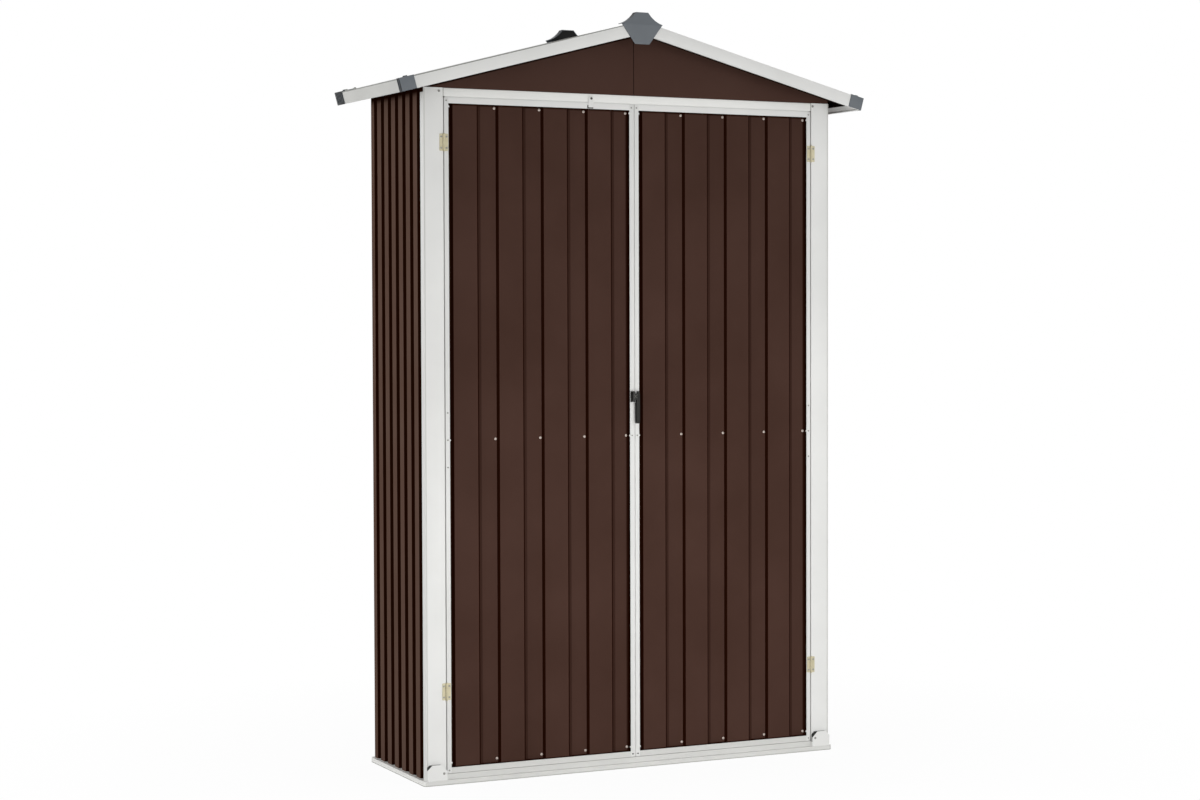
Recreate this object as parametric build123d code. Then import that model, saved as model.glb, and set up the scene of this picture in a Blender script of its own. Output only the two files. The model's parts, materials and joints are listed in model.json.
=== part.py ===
from build123d import *
import math
import os

# Narrow steel tool shed: folded-sheet frame, ribbed walls, two ribbed doors and a pitched roof.
# Millimetres, +Z up, the doors face -Y, and the origin is on the ground in the middle of the base.

# Overall sizes
body_width = 1023.0  # over the outer faces of the front posts
body_depth = 356.0  # front face of the posts to the outer face of the back wall
post_height = 1557.5  # top of the front posts above the ground
roof_pitch = 15.0  # degrees
eave_overhang = 72.0  # roof edge beyond the post, each side
gable_overhang = 47.0  # roof edge beyond the front and the back

# Sheet thicknesses
wall_sheet = 0.6
frame_sheet = 1.0

# Base frame
base_lip = 7.5  # hem outside the walls
base_corner_radius = 10.0
hem_height = 11.0
ground_flange = 70.0
sill_height = 23.3
sill_depth = 30.0
upstand_height = 40.0
anchor_hole_radius = 4.5
anchor_spacing = 800.0
anchor_inset = 14.5  # hole centre from the inner edge of the ground flange

# Front posts, foot plates and door header
post_face = 46.5
post_side_flange = 20.0
post_jamb = 30.0
header_height = 19.0
header_depth = 30.0
header_end_gap = 5.0  # header and sill end to side wall
foot_plate_height = 35.5
foot_stand_off = 7.0  # front of the plate to the post, open at the chamfers
foot_outer_chamfer = 11.0
foot_inner_chamfer = 14.0
foot_inner_return = 10.5  # height of the fold along the door side

# Ribbed walls
groove_pitch = 48.5
groove_width = 18.0
groove_slope = 4.0
groove_depth = 6.0
wall_edge_crest = 20.0  # least crest along an edge
back_lap = 20.0  # overlap of the two back sheets

# Inner framing
rear_post_leg = 20.0
rail_height = 30.0
rail_flange = 16.0
mid_rail_height = 773.0  # centre of the middle rails above the ground

# Doors
door_side_gap = 2.5
door_middle_gap = 3.0
door_top_gap = 2.0
door_bottom_gap = 1.0
door_depth = 20.0
stile_face = 10.0
end_rail_face = 13.0
end_rail_leg = 32.0
door_mid_rail = 40.0
panel_setback = 2.2  # rib crests behind the door's front face
panel_clearance = 0.5
door_rib_pitch = 109.0
door_rib_crest = 62.0
door_rib_slope = 5.0
door_rib_depth = 6.0
door_edge_valley = 16.8

# Panel screws
screw_radius = 1.9
screw_head_radius = 3.0
screw_head_height = 2.0
screw_tip = 5.0  # shank standing out behind the rail
screw_clearance = 0.1
screw_rib_inset = 5.8  # screw to the foot of the next rib
screw_stile_inset = 7.0  # last screw to the stile
screw_top_inset = 20.0  # top row to the door's top
screw_bottom_inset = 23.5  # bottom row to the door's bottom

# Hinges
hinge_height = 38.0
hinge_leaf = 10.0  # axis to the leaf's outer edge
leaf_thickness = 1.2
knuckle_radius = 2.4
knuckle_stand_off = 0.2  # knuckle to the door's front face
knuckle_gap = 0.3
pin_radius = 1.2
pin_clearance = 0.05
pin_head_radius = 2.1
pin_head_height = 1.2
upper_hinge_drop = 100.0  # hinge centre below the door's top
lower_hinge_rise = 185.0  # hinge centre above the door's bottom

# Latch and left door stop
latch_height = 863.0  # spindle above the ground
spindle_radius = 3.0
spindle_clearance = 0.05
spindle_panel_clearance = 1.0
latch_stand_off = 0.3
hub_radius = 7.6
hub_length = 9.5
lever_width = 12.0
lever_length = 62.0  # spindle to the tip
lever_head = 13.0  # spindle to the upper end
lever_thickness = 5.5
lever_corner = 2.5
cam_thickness = 2.0
cam_reach = 15.0
cam_width = 6.8
cam_screw_radius = 3.0
keeper_width = 8.5
keeper_height = 25.0
keeper_plate = 2.0
keeper_bridge = 3.0  # behind the path of the lever's head
keeper_bridge_height = 14.0
keeper_edge = 0.6  # keeper to the edge of the stile
stop_width = 12.0
stop_height = 26.0
stop_thickness = 1.2
stop_reach = 354.0  # middle of the stop from the door's hinge edge
stop_foot = 10.0  # length on the door's top rail

# Roof
roof_gap = 0.5  # lower edge of the roof trim above the outer corner of the post
trim_sheet = 1.0
trim_height = 29.0
trim_top_flange = 25.0
trim_bottom_flange = 5.0
gable_flange = 15.0
roof_rib_pitch = 110.0
roof_valley = 48.0
roof_rib_slope = 5.0
roof_rib_depth = 6.0
roof_edge_crest = 30.0  # least crest along an edge
roof_edge_clearance = 1.0
roof_edge_fold = 15.0  # eave edge turned down from the rib crests
ridge_gap = 2.0  # between the two roof sheets
ridge_beam_half = 40.0
ridge_beam_lip = 18.0
flashing_reach = 45.0
flashing_sheet = 0.8

# Plastic roof caps
cap_wall = 1.5
cap_long_leg = 35.0
cap_short_leg = 18.0
cap_rear_leg = 52.0
cap_lug_radius = 5.0
cap_lug_height = 2.2
ridge_cap_rise = 19.0  # above the peak of the front trim
ridge_cap_top = 31.0
ridge_cap_width = 103.0
ridge_cap_shoulder = 26.5
ridge_cap_shoulder_sag = 4.0
ridge_cap_height = 72.6
ridge_cap_foot = 36.0
ridge_cap_depth = 18.0

# Planes that the pieces share
front_y = -body_depth / 2
rear_y = body_depth / 2
side_x = body_width / 2
wall_x = side_x - frame_sheet
valley_x = wall_x - groove_depth - wall_sheet
valley_y = rear_y - groove_depth - wall_sheet
behind_post_y = front_y + frame_sheet
header_bottom = post_height - header_height
header_half = valley_x - header_end_gap
opening_half = side_x - post_face

# Sheet-metal helpers


def block(low, high):
    """Box between two corners."""
    size = Vector(*high) - Vector(*low)
    return Pos(*low) * Box(size.X, size.Y, size.Z, align=(Align.MIN, Align.MIN, Align.MIN))


def bent_sheet(points, thickness):
    """Section of a folded sheet: one face follows the points, and the metal lies on their right."""
    line = [Vector(*point) for point in points]
    runs = [(end - start).normalized() for start, end in zip(line, line[1:])]
    sides = [Vector(run.Y, -run.X) for run in runs]
    other_face = [line[0] + sides[0] * thickness]
    for corner, before, after in zip(line[1:], sides, sides[1:]):
        other_face.append(corner + (before + after) * (thickness / (1 + before.dot(after))))
    other_face.append(line[-1] + sides[-1] * thickness)
    outline = line + other_face[::-1]
    return Polygon(*[(point.X, point.Y) for point in outline], align=None)


def prism(section, axis, start, end):
    """Solid along an axis: drawn in (y, z) along X, in (x, z) along Y and in (x, y) along Z."""
    planes = {
        "X": Plane(origin=(start, 0, 0), x_dir=(0, 1, 0), z_dir=(1, 0, 0)),
        "Y": Plane(origin=(0, start, 0), x_dir=(1, 0, 0), z_dir=(0, -1, 0)),
        "Z": Plane(origin=(0, 0, start)),
    }
    directions = {"X": (1, 0, 0), "Y": (0, 1, 0), "Z": (0, 0, 1)}
    return extrude(planes[axis] * section, amount=end - start, dir=directions[axis])


def rod(axis, centre, radius, start, end):
    """Round bar along Y or Z, with its centre given in the other two directions."""
    return prism(Pos(*centre) * Circle(radius), axis, start, end)


def spaced_crests(start, end, edge_crest, valley, pitch):
    """Crests of a sheet whose valleys keep their pitch; the two edge crests share what is left."""
    steps = int((end - start - 2 * edge_crest - valley) / pitch)
    first = start + (end - start - valley - steps * pitch) / 2
    valleys = [first + pitch * i for i in range(steps + 1)]
    edges = [start] + [edge for left in valleys for edge in (left, left + valley)] + [end]
    return list(zip(edges[::2], edges[1::2]))


def ribbed_line(start, end, crests, slope, depth):
    """Outer face of a ribbed sheet as (distance, depth) points, with the crests at depth 0."""
    points = [(start, 0 if crests[0][0] <= start else depth)]
    for left, right in crests:
        if left > start:
            points += [(left - slope / 2, depth), (left + slope / 2, 0)]
        if right < end:
            points += [(right - slope / 2, 0), (right + slope / 2, depth)]
    return points + [(end, 0 if crests[-1][1] >= end else depth)]


def mirror_x(shape):
    """The other hand of a piece, left for right."""
    return mirror(shape, about=Plane.YZ)


def mirror_y(shape):
    """The other hand of a piece, front for rear."""
    return mirror(shape, about=Plane.XZ)


parts = {}

# Base frame: a hemmed plate mitred at its corners, with the door sill and the wall upstands
base_x = side_x + base_lip
base_y = body_depth / 2 + base_lip
upstand_inner_x = valley_x - frame_sheet
upstand_inner_y = valley_y - frame_sheet
sill_y = behind_post_y
base_outline = RectangleRounded(2 * base_x, 2 * base_y, base_corner_radius)
hem_inside = RectangleRounded(
    2 * (base_x - frame_sheet), 2 * (base_y - frame_sheet), base_corner_radius - frame_sheet
)
ground_inside = Rectangle(2 * (base_x - ground_flange), 2 * (base_y - ground_flange))
hem_top_inside = Polygon(
    (-upstand_inner_x, sill_y + frame_sheet),
    (upstand_inner_x, sill_y + frame_sheet),
    (upstand_inner_x, upstand_inner_y),
    (-upstand_inner_x, upstand_inner_y),
    align=None,
)
hem = prism(base_outline - ground_inside, "Z", 0, frame_sheet)
hem += prism(base_outline - hem_inside, "Z", 0, hem_height)
hem += prism(base_outline - hem_top_inside, "Z", hem_height - frame_sheet, hem_height)
anchor_y = base_y - ground_flange + anchor_inset
for x in (-anchor_spacing / 2, anchor_spacing / 2):
    for y in (-anchor_y, anchor_y):
        hem -= rod("Z", (x, y), anchor_hole_radius, 0, frame_sheet)


def hem_part(*corners):
    """Stretch of the hemmed plate inside a mitred outline."""
    return hem & prism(Polygon(*corners, align=None), "Z", 0, hem_height)


mitre_x = base_x - base_y
front_hem = hem_part((-base_x, -base_y), (base_x, -base_y), (mitre_x, 0), (-mitre_x, 0))
rear_hem = hem_part((base_x, base_y), (-base_x, base_y), (-mitre_x, 0), (mitre_x, 0))
left_hem = hem_part((-base_x, -base_y), (-mitre_x, 0), (-base_x, base_y))
sill_section = bent_sheet(
    [(sill_y, hem_height), (sill_y, sill_height), (sill_y + sill_depth, sill_height)], frame_sheet
)
sill = prism(sill_section, "X", -header_half, header_half)
upstand_end_x = base_x - (base_y - upstand_inner_y)
upstand_end_y = base_y - (base_x - upstand_inner_x)
rear_upstand = block(
    (-upstand_end_x, upstand_inner_y, hem_height), (upstand_end_x, valley_y, upstand_height)
)
left_upstand = block(
    (-valley_x, -upstand_end_y, hem_height), (-upstand_inner_x, upstand_end_y, upstand_height)
)
parts["base_rail_front"] = front_hem + sill
parts["base_rail_rear"] = rear_hem + rear_upstand
parts["base_rail_left"] = left_hem + left_upstand
parts["base_rail_right"] = mirror_x(parts["base_rail_left"])

# Front posts: channels whose jamb stops at the sill and the header, which run behind the face
post_section = bent_sheet(
    [
        (-opening_half, front_y + post_jamb),
        (-opening_half, front_y),
        (-side_x, front_y),
        (-side_x, front_y + post_side_flange),
    ],
    frame_sheet,
)
post_left = prism(post_section, "Z", hem_height, post_height)
jamb_low = (-opening_half - frame_sheet, behind_post_y)
jamb_high = (-opening_half, front_y + post_jamb)
post_left -= block((*jamb_low, hem_height), (*jamb_high, sill_height))
post_left -= block((*jamb_low, header_bottom), (*jamb_high, post_height))
parts["front_post_left"] = post_left
parts["front_post_right"] = mirror_x(post_left)

header_section = bent_sheet(
    [
        (behind_post_y + header_depth, header_bottom),
        (behind_post_y, header_bottom),
        (behind_post_y, post_height),
        (behind_post_y + header_depth, post_height),
    ],
    frame_sheet,
)
parts["door_header"] = prism(header_section, "X", -header_half, header_half)

foot_top = hem_height + foot_plate_height
foot_outline = Polygon(
    (-side_x, hem_height),
    (-opening_half, hem_height),
    (-opening_half, foot_top - foot_inner_chamfer),
    (-opening_half - foot_inner_chamfer, foot_top),
    (-side_x + foot_outer_chamfer, foot_top),
    (-side_x, foot_top - foot_outer_chamfer),
    align=None,
)
foot_y = front_y - foot_stand_off
foot_left = prism(foot_outline, "Y", foot_y, foot_y + frame_sheet)
foot_left += block(
    (-side_x, foot_y, hem_height), (-wall_x, front_y, foot_top - foot_outer_chamfer)
)
foot_left += block(
    (-opening_half - frame_sheet, foot_y, hem_height),
    (-opening_half, front_y, hem_height + foot_inner_return),
)
parts["foot_plates"] = Compound(children=[foot_left, mirror_x(foot_left)])

# Ribbed walls: the side sheets run from the posts to the inside of the back sheets
side_start = behind_post_y
side_end = rear_y - wall_sheet
side_crests = spaced_crests(side_start, side_end, wall_edge_crest, groove_width, groove_pitch)
side_line = ribbed_line(side_start, side_end, side_crests, groove_slope, groove_depth)
side_section = bent_sheet([(-wall_x + depth, y) for y, depth in side_line], wall_sheet)
parts["side_wall_left"] = prism(side_section, "Z", hem_height, post_height)
parts["side_wall_right"] = mirror_x(parts["side_wall_left"])

back_top = post_height - frame_sheet
right_crests = spaced_crests(-back_lap / 2, wall_x, wall_edge_crest, groove_width, groove_pitch)
right_line = ribbed_line(-back_lap / 2, wall_x, right_crests, groove_slope, groove_depth)
left_line = [(-x, depth) for x, depth in right_line[::-1]]
lap_points = {point for point in left_line[-2:]}
left_line = [(x, wall_sheet if (x, depth) in lap_points else depth) for x, depth in left_line]
for name, line in (("back_wall_left", left_line), ("back_wall_right", right_line)):
    section = bent_sheet([(x, rear_y - depth) for x, depth in line], wall_sheet)
    parts[name] = prism(section, "Z", hem_height, back_top)

# Inner framing
post_inner_x = wall_x - wall_sheet
post_inner_y = rear_y - wall_sheet
rear_post_section = bent_sheet(
    [
        (-post_inner_x, post_inner_y - rear_post_leg),
        (-post_inner_x, post_inner_y),
        (-post_inner_x + rear_post_leg, post_inner_y),
    ],
    frame_sheet,
)
rear_post_left = prism(rear_post_section, "Z", hem_height, back_top)
parts["rear_posts"] = Compound(children=[rear_post_left, mirror_x(rear_post_left)])

rail_low = mid_rail_height - rail_height / 2
rail_high = mid_rail_height + rail_height / 2
rear_rail_section = bent_sheet(
    [(valley_y - rail_flange, rail_high), (valley_y, rail_high), (valley_y, rail_low)], frame_sheet
)
parts["rear_mid_rail"] = prism(rear_rail_section, "X", -valley_x, valley_x)
side_rail_section = bent_sheet(
    [(-valley_x, rail_low), (-valley_x, rail_high), (-valley_x + rail_flange, rail_high)],
    frame_sheet,
)
side_rail_left = prism(side_rail_section, "Y", behind_post_y, valley_y - rail_flange)
parts["side_mid_rails"] = Compound(children=[side_rail_left, mirror_x(side_rail_left)])

rear_top_section = bent_sheet(
    [
        (rear_y, post_height),
        (upstand_inner_y, post_height),
        (upstand_inner_y, post_height - rail_height),
    ],
    -frame_sheet,
)
parts["rear_top_rail"] = prism(rear_top_section, "X", -valley_x, valley_x)

# Roof planes: along the slope (u), along the ridge (y) and square to the slope (w)
slope = math.radians(roof_pitch)
peak = post_height + side_x * math.tan(slope) + (trim_height + roof_gap) / math.cos(slope)
roof_plane = Plane(
    origin=(0, 0, peak),
    x_dir=(math.cos(slope), 0, -math.sin(slope)),
    z_dir=(math.sin(slope), 0, math.cos(slope)),
)
roof_y = body_depth / 2 + gable_overhang
roof_edge = (side_x + eave_overhang - cap_wall * math.sin(slope)) / math.cos(slope)
trim_edge = roof_edge - cap_wall
trim_y = roof_y - cap_wall
crest_w = -trim_sheet
seat_w = crest_w - roof_rib_depth - wall_sheet
past_ridge = trim_height
far = 2 * roof_edge
right_of_ridge = block((0, -far, 0), (far, far, 2 * peak))


def on_roof(shape):
    """Put a piece drawn on the right-hand slope in its place, cut upright at the ridge."""
    return (roof_plane.location * shape) & right_of_ridge


def height_at(x, depth):
    """Height of the plane that lies a depth under the roof's top plane."""
    return peak - abs(x) * math.tan(slope) - depth / math.cos(slope)


def trim_ring(inset, low, high):
    """Plate along the two ends and the eave of one slope, open at the ridge."""
    outside = block((-past_ridge, -trim_y, low), (trim_edge, trim_y, high))
    inside = block((-past_ridge, -trim_y + inset, low), (trim_edge - inset, trim_y - inset, high))
    return outside - inside


trim = trim_ring(trim_sheet, -trim_height, 0)
trim += trim_ring(trim_top_flange, -trim_sheet, 0)
trim += trim_ring(trim_bottom_flange, -trim_height, -trim_height + trim_sheet)
mitre_u = trim_edge - trim_y
fascia_outline = Polygon(
    (-past_ridge, -trim_y), (trim_edge, -trim_y), (mitre_u, 0), (-past_ridge, 0), align=None
)
eave_outline = Polygon((trim_edge, -trim_y), (trim_edge, trim_y), (mitre_u, 0), align=None)
fascia = on_roof(trim & prism(fascia_outline, "Z", -trim_height, 0))
eave_trim = on_roof(trim & prism(eave_outline, "Z", -trim_height, 0))
parts["front_fascia_right"] = fascia
parts["front_fascia_left"] = mirror_x(fascia)
parts["rear_fascia_right"] = mirror_y(fascia)
parts["rear_fascia_left"] = mirror_x(parts["rear_fascia_right"])
parts["eave_trim_right"] = eave_trim
parts["eave_trim_left"] = mirror_x(eave_trim)

# Roof sheets: ribs run down the slope, and the edges lie inside the trims
sheet_y = trim_y - trim_sheet - roof_edge_clearance
sheet_edge = trim_edge - trim_sheet - roof_edge_clearance
roof_crests = spaced_crests(-sheet_y, sheet_y, roof_edge_crest, roof_valley, roof_rib_pitch)
roof_line = ribbed_line(-sheet_y, sheet_y, roof_crests, roof_rib_slope, roof_rib_depth)
roof_section = bent_sheet([(y, crest_w - depth) for y, depth in roof_line], wall_sheet)
roof_sheet = prism(roof_section, "X", -past_ridge, sheet_edge)
roof_sheet += block(
    (sheet_edge - wall_sheet, -sheet_y, crest_w - roof_edge_fold), (sheet_edge, sheet_y, crest_w)
)
roof_sheet = on_roof(roof_sheet)
roof_sheet -= block((0, -roof_y, 0), (ridge_gap / 2, roof_y, 2 * peak))
parts["roof_panel_right"] = roof_sheet
parts["roof_panel_left"] = mirror_x(roof_sheet)

# Gables: flat sheets with a foot on the header and a flange under the roof sheet
gable_y = behind_post_y
seat = -seat_w
gable_outline = Polygon(
    (0, post_height),
    (wall_x, post_height),
    (wall_x, height_at(wall_x, seat)),
    (0, height_at(0, seat)),
    align=None,
)
gable_foot = block(
    (0, gable_y, post_height), (wall_x, gable_y + gable_flange, post_height + wall_sheet)
)
gable_top_outline = Polygon(
    (0, height_at(0, seat)),
    (wall_x, height_at(wall_x, seat)),
    (wall_x, height_at(wall_x, seat + wall_sheet)),
    (0, height_at(0, seat + wall_sheet)),
    align=None,
)
gable = prism(gable_outline, "Y", gable_y, gable_y + wall_sheet)
gable += gable_foot
gable += prism(gable_top_outline, "Y", gable_y, gable_y + gable_flange)
parts["front_gable_right"] = gable
parts["front_gable_left"] = mirror_x(gable)
parts["rear_gable_right"] = mirror_y(gable)
parts["rear_gable_left"] = mirror_x(parts["rear_gable_right"])

# Side top rails reach from the walls up to the roof sheets, between the gable flanges
side_top_section = bent_sheet(
    [
        (-valley_x, post_height - rail_height),
        (-valley_x, height_at(valley_x, seat)),
        (-valley_x + rail_flange, height_at(valley_x - rail_flange, seat)),
    ],
    frame_sheet,
)
side_top_half = -gable_y - gable_flange
side_top_left = prism(side_top_section, "Y", -side_top_half, side_top_half)
parts["side_top_rails"] = Compound(children=[side_top_left, mirror_x(side_top_left)])

# Ridge beam hangs between the gables under their flanges
beam = seat + wall_sheet
beam_points = [
    (-ridge_beam_half, height_at(ridge_beam_half, beam) - ridge_beam_lip),
    (-ridge_beam_half, height_at(ridge_beam_half, beam)),
    (0, height_at(0, beam)),
    (ridge_beam_half, height_at(ridge_beam_half, beam)),
    (ridge_beam_half, height_at(ridge_beam_half, beam) - ridge_beam_lip),
]
beam_half = -gable_y - wall_sheet
parts["ridge_beam"] = prism(bent_sheet(beam_points, frame_sheet), "Y", -beam_half, beam_half)

# Ridge flashing lies on the rib crests between the fascias
flashing_points = [
    (-flashing_reach, height_at(flashing_reach, trim_sheet)),
    (0, height_at(0, trim_sheet)),
    (flashing_reach, height_at(flashing_reach, trim_sheet)),
]
flashing_half = trim_y - trim_top_flange
flashing_section = bent_sheet(flashing_points, -flashing_sheet)
parts["ridge_flashing"] = prism(flashing_section, "Y", -flashing_half, flashing_half)


# Corner caps slip over the mitred trims


def corner_cap(front_leg, side_leg):
    """Moulded cap for the front corner of the right-hand slope."""
    inner_edge = roof_edge - front_leg
    side_end = -roof_y + side_leg
    shell = block((inner_edge, -roof_y, -trim_height), (roof_edge, side_end, cap_wall))
    shell -= block((inner_edge, -trim_y, -trim_height), (trim_edge, side_end, 0))
    lug_centre = (roof_edge - front_leg / 2, -roof_y + side_leg / 2)
    lug = rod("Z", lug_centre, cap_lug_radius, cap_wall, cap_wall + cap_lug_height)
    return on_roof(shell + lug)


front_cap = corner_cap(cap_long_leg, cap_short_leg)
rear_cap = mirror_y(corner_cap(cap_long_leg, cap_rear_leg))
parts["corner_cap_front_right"] = front_cap
parts["corner_cap_front_left"] = mirror_x(front_cap)
parts["corner_cap_rear_right"] = rear_cap
parts["corner_cap_rear_left"] = mirror_x(rear_cap)


# Ridge end caps: a shield over the fascias' joint and a hood over the ridge


def shoulder(top_half, top_z, tip_half, tip_z, side):
    """Hollow curve from the flat top of a ridge cap to its tip."""
    start = Vector(side * top_half, top_z)
    tip = Vector(side * tip_half, tip_z)
    outward = Vector(side, (tip_half - top_half) / (top_z - tip_z)).normalized()
    middle = (start + tip) / 2 - outward * ridge_cap_shoulder_sag
    return ThreePointArc((start.X, start.Y), (middle.X, middle.Y), (tip.X, tip.Y))


def cap_outline(top_half, top_z, tip_half, tip_z, lower_points):
    """Face of a ridge cap: flat top, hollow shoulders and the lower corners, right to left."""
    edges = Line((-top_half, top_z), (top_half, top_z))
    edges += shoulder(top_half, top_z, tip_half, tip_z, 1)
    edges += Polyline((tip_half, tip_z), *lower_points, (-tip_half, tip_z))
    edges += shoulder(top_half, top_z, tip_half, tip_z, -1)
    return make_face(edges)


cap_z = peak + ridge_cap_rise
tip_half = ridge_cap_width / 2
tip_z = cap_z - ridge_cap_shoulder
foot_z = cap_z - ridge_cap_height
foot_half = ridge_cap_foot / 2
top_half = ridge_cap_top / 2
brim_z = tip_z - cap_wall
shield_face = cap_outline(
    top_half, cap_z, tip_half, tip_z, [(foot_half, foot_z), (-foot_half, foot_z)]
)
hood_face = cap_outline(top_half, cap_z, tip_half, tip_z, [(tip_half, brim_z), (-tip_half, brim_z)])
hollow_face = cap_outline(top_half - cap_wall, cap_z - cap_wall, tip_half, brim_z, [])
shield = prism(shield_face, "Y", -roof_y, -trim_y)
hood = prism(hood_face - hollow_face, "Y", -trim_y, -roof_y + ridge_cap_depth)
parts["ridge_end_cap_front"] = shield + hood
parts["ridge_end_cap_rear"] = mirror_y(parts["ridge_end_cap_front"])

# Doors: channel stiles and end rails round a ribbed panel, with a middle rail behind it
door_low = sill_height + door_bottom_gap
door_high = header_bottom - door_top_gap
door_outer = opening_half - door_side_gap
door_inner = door_middle_gap / 2
crest_y = front_y + panel_setback
valley_face_y = crest_y + door_rib_depth
leg_y = valley_face_y + wall_sheet
leg_back_y = leg_y + frame_sheet
door_back_y = front_y + door_depth
door_middle_z = (door_low + door_high) / 2
screw_rows = (door_low + screw_bottom_inset, mid_rail_height, door_high - screw_top_inset)

stile_section = bent_sheet(
    [
        (stile_face, front_y),
        (0, front_y),
        (0, leg_back_y),
        (stile_face - frame_sheet, leg_back_y),
        (stile_face - frame_sheet, door_back_y),
    ],
    frame_sheet,
)
end_rail_section = bent_sheet(
    [
        (front_y, door_high - end_rail_face),
        (front_y, door_high),
        (leg_back_y, door_high),
        (leg_back_y, door_high - end_rail_leg),
        (door_back_y, door_high - end_rail_leg),
    ],
    frame_sheet,
)
mid_rail_section = bent_sheet(
    [
        (door_back_y, mid_rail_height - door_mid_rail / 2),
        (leg_y, mid_rail_height - door_mid_rail / 2),
        (leg_y, mid_rail_height + door_mid_rail / 2),
        (door_back_y, mid_rail_height + door_mid_rail / 2),
    ],
    frame_sheet,
)


def door(left, right):
    """Stiles, rails, panel and screws of one door between its two edges."""
    left_stile = Pos(left, 0, 0) * prism(stile_section, "Z", door_low, door_high)
    right_stile = Pos(right, 0, 0) * mirror_x(prism(stile_section, "Z", door_low, door_high))
    rail_left = left + stile_face
    rail_right = right - stile_face
    panel_left = left + frame_sheet + panel_clearance
    panel_right = right - frame_sheet - panel_clearance
    first_rise = panel_left + door_edge_valley
    last_rise = panel_right - door_edge_valley - door_rib_crest
    ribs = int((last_rise - first_rise) / door_rib_pitch) + 1
    rises = [first_rise + door_rib_pitch * i for i in range(ribs)]
    crests = [(rise, rise + door_rib_crest) for rise in rises]
    line = ribbed_line(panel_left, panel_right, crests, door_rib_slope, door_rib_depth)
    section = bent_sheet([(x, crest_y + depth) for x, depth in line][::-1], wall_sheet)
    end_clearance = frame_sheet + panel_clearance
    panel = prism(section, "Z", door_low + end_clearance, door_high - end_clearance)
    top_rail = prism(end_rail_section, "X", rail_left, rail_right)
    bottom_rail = mirror(top_rail, about=Plane.XY.offset(door_middle_z))
    middle_rail = prism(mid_rail_section, "X", rail_left, rail_right)
    screw_places = [rise - screw_rib_inset for rise in rises[1:]]
    screw_places.append(rail_right - screw_stile_inset)
    screws = []
    for x in screw_places:
        for z in screw_rows:
            hole = rod("Y", (x, z), screw_radius + screw_clearance, crest_y, leg_back_y)
            panel -= hole
            top_rail -= hole
            bottom_rail -= hole
            middle_rail -= hole
            head_y = valley_face_y - screw_head_height
            head = rod("Y", (x, z), screw_head_radius, head_y, valley_face_y)
            shank = rod("Y", (x, z), screw_radius, valley_face_y, leg_back_y + screw_tip)
            screws.append(head + shank)
    return {
        "left_stile": left_stile,
        "right_stile": right_stile,
        "panel": panel,
        "end_rails": (top_rail, bottom_rail),
        "mid_rail": middle_rail,
        "screws": screws,
    }


left_door = door(-door_outer, -door_inner)
right_door = door(door_inner, door_outer)

# Latch: the lever's spindle goes through the right door's meeting stile to a cam inside
spindle_x = door_inner + stile_face / 2
spindle_at = (spindle_x, latch_height)
hub_back = front_y - latch_stand_off
hub_front = hub_back - hub_length
cam_front = leg_back_y + latch_stand_off
cam_back = cam_front + cam_thickness
spindle_hole = rod("Y", spindle_at, spindle_radius + spindle_clearance, front_y, leg_back_y)
panel_hole = rod("Y", spindle_at, spindle_radius + spindle_panel_clearance, crest_y, leg_back_y)
right_door["left_stile"] -= spindle_hole
right_door["panel"] -= panel_hole

lever_middle = (spindle_x, latch_height + (lever_head - lever_length) / 2)
lever_outline = Pos(*lever_middle) * RectangleRounded(
    lever_width, lever_head + lever_length, lever_corner
)
lever = rod("Y", spindle_at, hub_radius, hub_front, hub_back)
lever += prism(lever_outline, "Y", hub_front, hub_front + lever_thickness)
lever += rod("Y", spindle_at, spindle_radius, hub_back, cam_front)
parts["latch_lever"] = lever

cam_outline = Pos(spindle_x, latch_height) * (
    Circle(cam_width / 2) + Pos(0, cam_reach / 2) * Rectangle(cam_width, cam_reach)
)
cam_screw = rod("Y", spindle_at, cam_screw_radius, cam_back, cam_back + screw_head_height)
parts["latch_cam"] = prism(cam_outline, "Y", cam_front, cam_back) + cam_screw

keeper_right = -door_inner - keeper_edge
keeper_left = keeper_right - keeper_width
keeper = block(
    (keeper_left, front_y - keeper_plate, latch_height - keeper_height / 2),
    (keeper_right, front_y, latch_height + keeper_height / 2),
)
keeper += block(
    (keeper_left, front_y - keeper_bridge, latch_height - keeper_bridge_height / 2),
    (keeper_right, front_y, latch_height + keeper_bridge_height / 2),
)
parts["latch_keeper"] = keeper

stop_x = -door_outer + stop_reach
stop_low = door_high - stop_foot
parts["left_door_stop"] = block(
    (stop_x - stop_width / 2, front_y - stop_thickness, stop_low),
    (stop_x + stop_width / 2, front_y, stop_low + stop_height),
)

for side, pieces in (("left", left_door), ("right", right_door)):
    meeting_side = "right" if side == "left" else "left"
    parts[f"{side}_door_panel"] = pieces["panel"]
    parts[f"{side}_door_hinge_stile"] = pieces[f"{side}_stile"]
    parts[f"{side}_door_meeting_stile"] = pieces[f"{meeting_side}_stile"]
    parts[f"{side}_door_end_rails"] = Compound(children=list(pieces["end_rails"]))
    parts[f"{side}_door_mid_rail"] = pieces["mid_rail"]
    parts[f"{side}_door_screws"] = Compound(children=pieces["screws"])

# Hinges: leaves on the front faces, with three knuckles round a headed pin in front of the gap
hinge_x = -(opening_half + door_outer) / 2
hinge_y = front_y - knuckle_stand_off - knuckle_radius
hinge_heights = (door_low + lower_hinge_rise, door_high - upper_hinge_drop)
knuckle_height = (hinge_height - 2 * knuckle_gap) / 3
leaf_edge = knuckle_radius + knuckle_gap


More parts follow.
